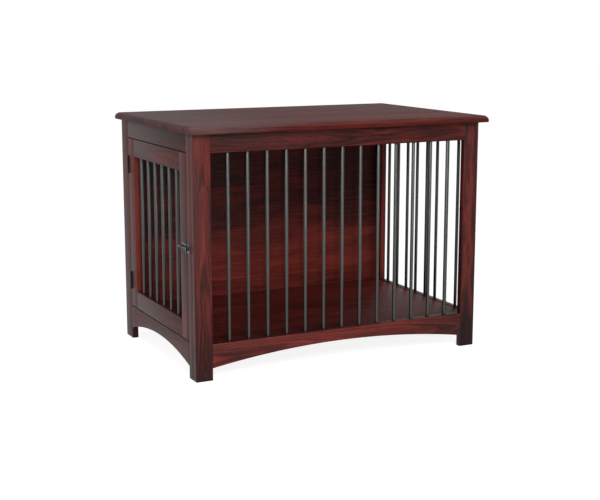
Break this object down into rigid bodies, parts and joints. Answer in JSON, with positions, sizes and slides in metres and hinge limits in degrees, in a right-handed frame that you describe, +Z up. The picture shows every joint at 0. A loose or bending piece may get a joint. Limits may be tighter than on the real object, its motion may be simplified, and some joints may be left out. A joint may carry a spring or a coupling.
{
  "type": "dog crate end table",
  "caption": "Stained wood end table that is also a dog crate, with round steel bars in front and on one end, a barred door on the other end, a closed back and a floor.",
  "frame": {"origin": "on the ground, under the middle of the table top's outline", "axes": "+X to the right seen from the front, along the length; +Y to the back; +Z up"},
  "size_m": [0.914, 0.599, 0.676],
  "materials": {
    "frame_wood": "dark reddish brown stain under satin lacquer, grain along each board",
    "top_wood": "dark reddish brown stain under satin lacquer, planks glued side by side, grain along the length",
    "panel_wood": "dark reddish brown stain, boards glued edge to edge, grain level",
    "floor_wood": "dark reddish brown stain under satin lacquer",
    "bar_steel": "satin grey steel",
    "fitting_steel": "dark satin steel"
  },
  "bodies": {
    "root": {"tabletop": "top_wood", "front_left_stile": "frame_wood", "front_right_stile": "frame_wood", "front_top_rail": "frame_wood", "front_bottom_rail": "frame_wood", "left_front_stile": "frame_wood", "left_rear_stile": "frame_wood", "left_top_rail": "frame_wood", "left_bottom_rail": "frame_wood", "right_front_stile": "frame_wood", "right_rear_stile": "frame_wood", "right_top_rail": "frame_wood", "right_bottom_rail": "frame_wood", "back_top_rail": "frame_wood", "back_bottom_rail": "frame_wood", "door_stop": "frame_wood", "back_panel": "panel_wood", "floor_panel": "floor_wood", "front_floor_cleat": "floor_wood", "rear_floor_cleat": "floor_wood", "front_bar_01": "bar_steel", "front_bar_02": "bar_steel", "front_bar_03": "bar_steel", "front_bar_04": "bar_steel", "front_bar_05": "bar_steel", "front_bar_06": "bar_steel", "front_bar_07": "bar_steel", "front_bar_08": "bar_steel", "front_bar_09": "bar_steel", "front_bar_10": "bar_steel", "front_bar_11": "bar_steel", "front_bar_12": "bar_steel", "front_bar_13": "bar_steel", "right_bar_1": "bar_steel", "right_bar_2": "bar_steel", "right_bar_3": "bar_steel", "right_bar_4": "bar_steel", "right_bar_5": "bar_steel", "right_bar_6": "bar_steel", "right_bar_7": "bar_steel", "right_bar_8": "bar_steel", "upper_hinge_frame_leaf": "fitting_steel", "upper_hinge_pin": "fitting_steel", "lower_hinge_frame_leaf": "fitting_steel", "lower_hinge_pin": "fitting_steel", "bolt_keeper": "fitting_steel"},
    "door": {"door_hinge_stile": "frame_wood", "door_latch_stile": "frame_wood", "door_top_rail": "frame_wood", "door_bottom_rail": "frame_wood", "door_bar_1": "bar_steel", "door_bar_2": "bar_steel", "door_bar_3": "bar_steel", "door_bar_4": "bar_steel", "door_bar_5": "bar_steel", "door_bar_6": "bar_steel", "upper_hinge_door_leaf": "fitting_steel", "lower_hinge_door_leaf": "fitting_steel", "bolt_plate": "fitting_steel"},
    "bolt": {"slide_bolt": "fitting_steel"}
  },
  "joints": [
    {"name": "door_hinge", "type": "hinge", "parent": "root", "child": "door", "pos_m": [-0.4413, 0.23975, 0.353], "axis": [0, 0, -1], "range_deg": [0, 170]},
    {"name": "bolt_slide", "type": "slide", "parent": "door", "child": "bolt", "axis": [0, -1, 0], "range_m": [0, 0.016]}
  ]
}
